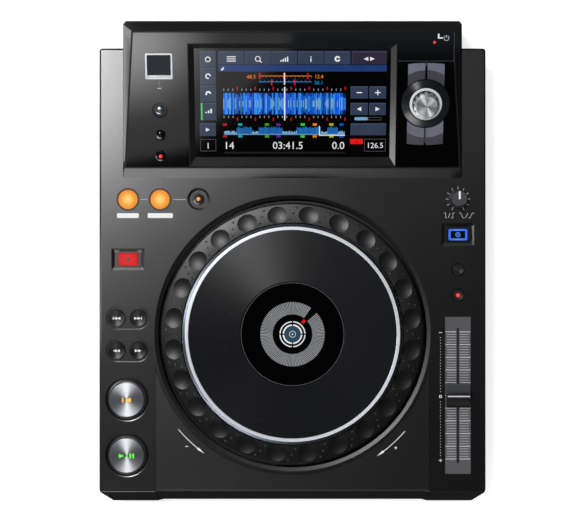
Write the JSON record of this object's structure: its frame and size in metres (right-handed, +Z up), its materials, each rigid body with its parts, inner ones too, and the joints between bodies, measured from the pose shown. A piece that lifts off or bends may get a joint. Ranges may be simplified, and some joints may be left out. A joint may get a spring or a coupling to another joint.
{
  "type": "tabletop music player with jog wheel",
  "caption": "Flat tabletop player for mixing music: large jog wheel, push buttons, tempo fader, sloping display unit with touch screen and rotary selector, rear sockets.",
  "frame": {"origin": "middle of the footprint, on the plane that the feet stand on", "axes": "+X to the player's right, +Y towards the display unit and the sockets at the back, +Z up"},
  "size_m": [0.306, 0.388, 0.107],
  "materials": {
    "shell_black": "satin",
    "grain_black": "fine grain",
    "gloss_black": "gloss",
    "glass_black": "gloss",
    "steel": "plain",
    "painted_steel": "satin",
    "bright_ring": "polished",
    "platter_metal": "dark anodised",
    "knob_metal": "radially brushed",
    "rubber": "matte",
    "board": "satin",
    "key_slate": "gloss",
    "button_dark": "gloss",
    "button_amber": "gloss",
    "button_red": "gloss",
    "button_blue": "gloss",
    "bearing_brass": "plain",
    "socket_black": "matte"
  },
  "bodies": {
    "deck_unit": {"bottom_chassis": "painted_steel", "feet": "rubber", "screws": "steel", "top_cover": "shell_black", "centre_panel": "grain_black", "display_housing": "grain_black", "display_fascia": "gloss_black", "screen_bezel": "gloss_black", "touch_screen": "glass_black", "display_module": "steel", "usb_frame": "bright_ring", "usb_socket": "steel", "rotary_collar": "gloss_black", "rotary_ring": "bright_ring", "rotary_encoder": "socket_black", "transport_rings": "gloss_black", "jog_base": "shell_black", "jog_post": "steel", "jog_display": "glass_black", "fader_plate": "gloss_black", "fader_body": "steel", "main_board": "board", "power_supply": "board", "control_boards": "board", "rear_panel": "painted_steel", "power_inlet": "socket_black", "lan_socket": "steel", "usb_b_socket": "steel", "audio_jacks": "steel"},
    "loop_in_button": {"loop_in_button": "button_amber"},
    "loop_out_button": {"loop_out_button": "button_amber"},
    "reloop_button": {"reloop_button": "button_dark"},
    "track_back_button": {"track_back_button": "button_dark"},
    "track_next_button": {"track_next_button": "button_dark"},
    "search_back_button": {"search_back_button": "button_dark"},
    "search_forward_button": {"search_forward_button": "button_dark"},
    "cue_button": {"cue_button": "knob_metal"},
    "play_button": {"play_button": "knob_metal"},
    "tempo_range_button": {"tempo_range_button": "button_dark"},
    "master_tempo_button": {"master_tempo_button": "button_dark"},
    "direction_button": {"direction_button": "button_red"},
    "jog_mode_button": {"jog_mode_button": "button_blue"},
    "usb_stop_button": {"usb_stop_button": "button_dark"},
    "time_mode_button": {"time_mode_button": "button_dark"},
    "quantize_button": {"quantize_button": "button_dark"},
    "back_key": {"back_key": "key_slate"},
    "tag_key": {"tag_key": "key_slate"},
    "filter_key": {"filter_key": "key_slate"},
    "shortcut_key": {"shortcut_key": "key_slate"},
    "power_button": {"power_button": "socket_black"},
    "jog": {"jog_ring": "shell_black", "jog_bearing": "bearing_brass", "jog_encoder_wheel": "socket_black"},
    "jog_plate": {"jog_platter": "platter_metal", "jog_trim_ring": "bright_ring"},
    "rotor": {"encoder_rotor": "socket_black"},
    "rotary": {"rotary_knob": "knob_metal"},
    "usb_door": {"usb_door": "gloss_black"},
    "speed_knob": {"speed_knob": "button_dark"},
    "fader_cap": {"fader_cap": "button_dark"}
  },
  "joints": [
    {"name": "loop_in_press", "type": "slide", "parent": "deck_unit", "child": "loop_in_button", "axis": [0, 0, -1], "range_m": [0, 0.0008], "stiffness_N_per_m": 500, "springref_m": -0.0015},
    {"name": "loop_out_press", "type": "slide", "parent": "deck_unit", "child": "loop_out_button", "axis": [0, 0, -1], "range_m": [0, 0.0008], "stiffness_N_per_m": 500, "springref_m": -0.0015},
    {"name": "reloop_press", "type": "slide", "parent": "deck_unit", "child": "reloop_button", "axis": [0, 0, -1], "range_m": [0, 0.0008], "stiffness_N_per_m": 500, "springref_m": -0.0015},
    {"name": "track_back_press", "type": "slide", "parent": "deck_unit", "child": "track_back_button", "axis": [0, 0, -1], "range_m": [0, 0.0008], "stiffness_N_per_m": 500, "springref_m": -0.0015},
    {"name": "track_next_press", "type": "slide", "parent": "deck_unit", "child": "track_next_button", "axis": [0, 0, -1], "range_m": [0, 0.0008], "stiffness_N_per_m": 500, "springref_m": -0.0015},
    {"name": "search_back_press", "type": "slide", "parent": "deck_unit", "child": "search_back_button", "axis": [0, 0, -1], "range_m": [0, 0.0008], "stiffness_N_per_m": 500, "springref_m": -0.0015},
    {"name": "search_forward_press", "type": "slide", "parent": "deck_unit", "child": "search_forward_button", "axis": [0, 0, -1], "range_m": [0, 0.0008], "stiffness_N_per_m": 500, "springref_m": -0.0015},
    {"name": "cue_press", "type": "slide", "parent": "deck_unit", "child": "cue_button", "axis": [0, 0, -1], "range_m": [0, 0.0008], "stiffness_N_per_m": 500, "springref_m": -0.0015},
    {"name": "play_press", "type": "slide", "parent": "deck_unit", "child": "play_button", "axis": [0, 0, -1], "range_m": [0, 0.0008], "stiffness_N_per_m": 500, "springref_m": -0.0015},
    {"name": "tempo_range_press", "type": "slide", "parent": "deck_unit", "child": "tempo_range_button", "axis": [0, 0, -1], "range_m": [0, 0.0008], "stiffness_N_per_m": 500, "springref_m": -0.0015},
    {"name": "master_tempo_press", "type": "slide", "parent": "deck_unit", "child": "master_tempo_button", "axis": [0, 0, -1], "range_m": [0, 0.0008], "stiffness_N_per_m": 500, "springref_m": -0.0015},
    {"name": "direction_press", "type": "slide", "parent": "deck_unit", "child": "direction_button", "axis": [0, 0, -1], "range_m": [0, 0.0008], "stiffness_N_per_m": 500, "springref_m": -0.0015},
    {"name": "jog_mode_press", "type": "slide", "parent": "deck_unit", "child": "jog_mode_button", "axis": [0, 0, -1], "range_m": [0, 0.0008], "stiffness_N_per_m": 500, "springref_m": -0.0015},
    {"name": "usb_stop_press", "type": "slide", "parent": "deck_unit", "child": "usb_stop_button", "axis": [0, 0.2807, -0.9598], "range_m": [0, 0.0008], "stiffness_N_per_m": 500, "springref_m": -0.0015},
    {"name": "time_mode_press", "type": "slide", "parent": "deck_unit", "child": "time_mode_button", "axis": [0, 0.2807, -0.9598], "range_m": [0, 0.0008], "stiffness_N_per_m": 500, "springref_m": -0.0015},
    {"name": "quantize_press", "type": "slide", "parent": "deck_unit", "child": "quantize_button", "axis": [0, 0.2807, -0.9598], "range_m": [0, 0.0008], "stiffness_N_per_m": 500, "springref_m": -0.0015},
    {"name": "back_press", "type": "slide", "parent": "deck_unit", "child": "back_key", "axis": [0, 0.2807, -0.9598], "range_m": [0, 0.0008], "stiffness_N_per_m": 500, "springref_m": -0.0015},
    {"name": "tag_press", "type": "slide", "parent": "deck_unit", "child": "tag_key", "axis": [0, 0.2807, -0.9598], "range_m": [0, 0.0008], "stiffness_N_per_m": 500, "springref_m": -0.0015},
    {"name": "filter_press", "type": "slide", "parent": "deck_unit", "child": "filter_key", "axis": [0, 0.2807, -0.9598], "range_m": [0, 0.0008], "stiffness_N_per_m": 500, "springref_m": -0.0015},
    {"name": "shortcut_press", "type": "slide", "parent": "deck_unit", "child": "shortcut_key", "axis": [0, 0.2807, -0.9598], "range_m": [0, 0.0008], "stiffness_N_per_m": 500, "springref_m": -0.0015},
    {"name": "power_press", "type": "slide", "parent": "deck_unit", "child": "power_button", "axis": [0, -1, 0], "range_m": [0, 0.003], "stiffness_N_per_m": 300, "springref_m": -0.002},
    {"name": "jog_turn", "type": "hinge", "parent": "deck_unit", "child": "jog", "pos_m": [0, -0.056, 0.07], "axis": [0, 0, 1], "continuous": true},
    {"name": "jog_touch", "type": "slide", "parent": "jog", "child": "jog_plate", "axis": [0, 0, -1], "range_m": [0, 0.0004], "stiffness_N_per_m": 10000, "springref_m": -0.0006},
    {"name": "rotary_turn", "type": "hinge", "parent": "deck_unit", "child": "rotor", "pos_m": [0.1037, 0.12391, 0.09107], "axis": [0, -0.2807, 0.9598], "continuous": true},
    {"name": "rotary_press", "type": "slide", "parent": "rotor", "child": "rotary", "axis": [0, 0.2807, -0.9598], "range_m": [0, 0.001], "stiffness_N_per_m": 500, "springref_m": -0.0015},
    {"name": "usb_door_hinge", "type": "hinge", "parent": "deck_unit", "child": "usb_door", "pos_m": [-0.1035, 0.15927, 0.10182], "axis": [-1, 0, 0], "range_deg": [0, 100]},
    {"name": "speed_turn", "type": "hinge", "parent": "deck_unit", "child": "speed_knob", "pos_m": [0.131, 0.0502, 0.07], "axis": [0, 0, 1], "range_deg": [-150, 150]},
    {"name": "tempo_slide", "type": "slide", "parent": "deck_unit", "child": "fader_cap", "axis": [0, 1, 0], "range_m": [-0.05, 0.05]}
  ]
}
